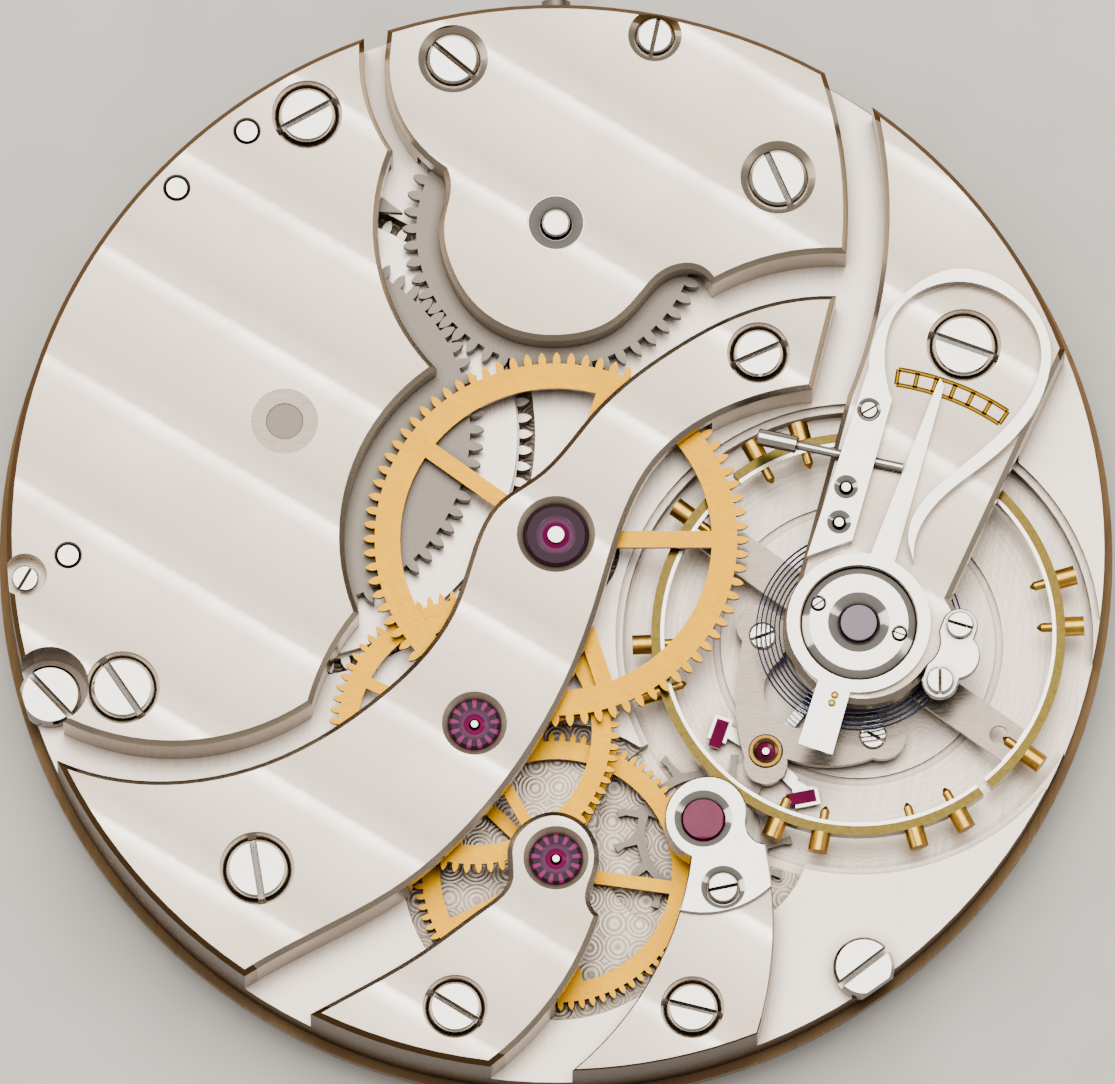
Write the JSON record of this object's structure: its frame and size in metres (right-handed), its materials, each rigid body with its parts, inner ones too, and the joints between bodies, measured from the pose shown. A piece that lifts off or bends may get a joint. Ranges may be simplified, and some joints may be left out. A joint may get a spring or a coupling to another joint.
{
  "type": "mechanical watch movement",
  "caption": "Hand-wound mechanical watch movement with a full lever escapement, bimetallic screwed balance, swan-neck regulator, small seconds and winding stem.",
  "frame": {"origin": "axis of the centre wheel and of the round plate, on the dial seat", "axes": "+Z from the dial seat up through the bridges to the balance cock; +Y along the winding stem, out through the crown's place"},
  "size_m": [0.0384, 0.0418, 0.0062],
  "materials": {
    "plate_plating": "nickel-plated, circular-grained",
    "bridge_plating": "nickel-plated, striped, bevelled edges",
    "gilt_brass": "gilt, matt",
    "grey_steel": "hardened, fine matt grain",
    "polished_steel": "hardened steel, black-polished",
    "blued_steel": "blued",
    "ruby": "polished synthetic ruby",
    "balance_brass": "polished, unplated",
    "gold": "polished gold alloy"
  },
  "bodies": {
    "movement": {"main_plate": "plate_plating", "barrel_bridge": "bridge_plating", "winding_bridge": "bridge_plating", "train_bridge": "bridge_plating", "seconds_bridge": "bridge_plating", "escape_cock": "bridge_plating", "escape_cap": "polished_steel", "balance_cock": "bridge_plating", "pallet_bridge": "grey_steel", "train_jewels": "ruby", "escapement_jewels": "ruby", "barrel_bush": "polished_steel", "crown_stud": "polished_steel", "click_spring": "grey_steel", "swan_neck": "polished_steel", "stud_carrier": "polished_steel", "hairspring_stud": "grey_steel", "balance_cap": "polished_steel", "plate_screws": "polished_steel", "small_screws": "polished_steel", "posts_and_pins": "grey_steel"},
    "barrel": {"barrel_drum": "plate_plating", "barrel_cover": "plate_plating", "mainspring": "blued_steel"},
    "barrel_arbor": {"barrel_arbor": "polished_steel", "ratchet_wheel": "grey_steel"},
    "crown_wheel": {"crown_wheel": "grey_steel"},
    "click": {"click": "grey_steel"},
    "winding_pinion": {"winding_pinion": "grey_steel"},
    "sliding_pinion": {"sliding_pinion": "grey_steel"},
    "winding_stem": {"winding_stem": "grey_steel"},
    "setting_lever": {"setting_lever": "grey_steel"},
    "yoke": {"yoke": "grey_steel"},
    "centre_wheel": {"centre_wheel": "gilt_brass", "centre_pinion": "polished_steel", "cannon_pinion": "polished_steel"},
    "third_wheel": {"third_wheel": "gilt_brass", "third_pinion": "polished_steel"},
    "fourth_wheel": {"fourth_wheel": "gilt_brass", "fourth_pinion": "polished_steel"},
    "escape_wheel": {"escape_wheel": "grey_steel", "escape_pinion": "polished_steel"},
    "pallet_fork": {"pallet_fork": "polished_steel", "pallet_stones": "ruby", "pallet_staff": "polished_steel"},
    "balance": {"balance_wheel": "polished_steel", "balance_rim": "balance_brass", "balance_screws": "gold", "balance_staff": "polished_steel", "balance_roller": "polished_steel", "roller_jewel": "ruby", "hairspring_collet": "balance_brass", "hairspring": "blued_steel"},
    "minute_wheel": {"minute_wheel": "gilt_brass"},
    "hour_wheel": {"hour_wheel": "gilt_brass"},
    "idler_wheel": {"idler_wheel": "grey_steel"},
    "setting_wheel": {"setting_wheel": "grey_steel"},
    "index": {"index": "polished_steel"},
    "regulator_screw": {"regulator_screw": "polished_steel"}
  },
  "joints": [
    {"name": "fourth_spin", "type": "hinge", "parent": "movement", "child": "fourth_wheel", "pos_m": [0, -0.01143, 0], "axis": [0, 0, 1], "continuous": true},
    {"name": "third_spin", "type": "hinge", "parent": "movement", "child": "third_wheel", "pos_m": [-0.0028, -0.00669, 0], "axis": [0, 0, 1], "continuous": true},
    {"name": "centre_spin", "type": "hinge", "parent": "movement", "child": "centre_wheel", "pos_m": [0, 0, 0], "axis": [0, 0, 1], "continuous": true},
    {"name": "barrel_spin", "type": "hinge", "parent": "movement", "child": "barrel", "pos_m": [-0.00933, 0.004, 0], "axis": [0, 0, 1], "continuous": true},
    {"name": "escape_spin", "type": "hinge", "parent": "movement", "child": "escape_wheel", "pos_m": [0.00505, -0.01004, 0], "axis": [0, 0, 1], "continuous": true},
    {"name": "minute_spin", "type": "hinge", "parent": "movement", "child": "minute_wheel", "pos_m": [0, 0.0032, 0], "axis": [0, 0, 1], "continuous": true},
    {"name": "hour_spin", "type": "hinge", "parent": "movement", "child": "hour_wheel", "pos_m": [0, 0, 0], "axis": [0, 0, 1], "continuous": true},
    {"name": "idler_spin", "type": "hinge", "parent": "movement", "child": "idler_wheel", "pos_m": [0, 0.00704, 0], "axis": [0, 0, 1], "continuous": true},
    {"name": "setting_spin", "type": "hinge", "parent": "movement", "child": "setting_wheel", "pos_m": [0, 0.01024, 0], "axis": [0, 0, 1], "continuous": true},
    {"name": "ratchet_spin", "type": "hinge", "parent": "movement", "child": "barrel_arbor", "pos_m": [-0.00933, 0.004, 0], "axis": [0, 0, 1], "continuous": true},
    {"name": "crown_spin", "type": "hinge", "parent": "movement", "child": "crown_wheel", "pos_m": [0, 0.01106, 0], "axis": [0, 0, 1], "continuous": true},
    {"name": "winding_spin", "type": "hinge", "parent": "movement", "child": "winding_pinion", "pos_m": [0, 0, 0.001], "axis": [0, 1, 0], "continuous": true},
    {"name": "stem_pull", "type": "slide", "parent": "winding_pinion", "child": "winding_stem", "axis": [0, 1, 0], "range_m": [0, 0.0007]},
    {"name": "clutch_slide", "type": "slide", "parent": "winding_pinion", "child": "sliding_pinion", "axis": [0, 1, 0], "range_m": [-0.0007, 0]},
    {"name": "lever_turn", "type": "hinge", "parent": "movement", "child": "setting_lever", "pos_m": [0.0022, 0.01745, 0], "axis": [0, 0, 1], "range_deg": [-18.6, 0]},
    {"name": "yoke_turn", "type": "hinge", "parent": "movement", "child": "yoke", "pos_m": [-0.0032, 0.01407, 0], "axis": [0, 0, 1], "range_deg": [-12.7, 0]},
    {"name": "click_swing", "type": "hinge", "parent": "movement", "child": "click", "pos_m": [-0.0071, 0.0124, 0], "axis": [0, 0, 1], "range_deg": [0, 6]},
    {"name": "pallet_swing", "type": "hinge", "parent": "movement", "child": "pallet_fork", "pos_m": [0.0072, -0.00718, 0], "axis": [0, 0, 1], "range_deg": [-5, 5]},
    {"name": "balance_swing", "type": "hinge", "parent": "movement", "child": "balance", "pos_m": [0.01039, -0.0032, 0], "axis": [0, 0, 1], "range_deg": [-270, 270], "deforming": ["hairspring"]},
    {"name": "regulator_turn", "type": "hinge", "parent": "movement", "child": "regulator_screw", "pos_m": [0.00693, 0.00336, 0.00395], "axis": [0.9756, -0.2195, 0], "range_deg": [0, 360]},
    {"name": "index_swing", "type": "hinge", "parent": "movement", "child": "index", "pos_m": [0.01039, -0.0032, 0], "axis": [0, 0, 1], "range_deg": [-1.2, 0]}
  ],
  "couplings": [
    {"joint": "third_spin", "follows": "fourth_spin", "ratio": -0.13333},
    {"joint": "centre_spin", "follows": "fourth_spin", "ratio": 0.016667},
    {"joint": "barrel_spin", "follows": "fourth_spin", "ratio": -0.0037037},
    {"joint": "escape_spin", "follows": "fourth_spin", "ratio": -10},
    {"joint": "minute_spin", "follows": "fourth_spin", "ratio": -0.0055556},
    {"joint": "hour_spin", "follows": "fourth_spin", "ratio": 0.0013889},
    {"joint": "idler_spin", "follows": "fourth_spin", "ratio": 0.0092593},
    {"joint": "setting_spin", "follows": "fourth_spin", "ratio": -0.0075758},
    {"joint": "crown_spin", "follows": "ratchet_spin", "ratio": -1.3077},
    {"joint": "winding_spin", "follows": "ratchet_spin", "ratio": 6.8},
    {"joint": "clutch_slide", "follows": "stem_pull", "ratio": -1},
    {"joint": "lever_turn", "follows": "stem_pull", "rad_per_m": -462.59},
    {"joint": "yoke_turn", "follows": "stem_pull", "rad_per_m": -315.05},
    {"joint": "index_swing", "follows": "regulator_turn", "ratio": -0.0033333}
  ]
}
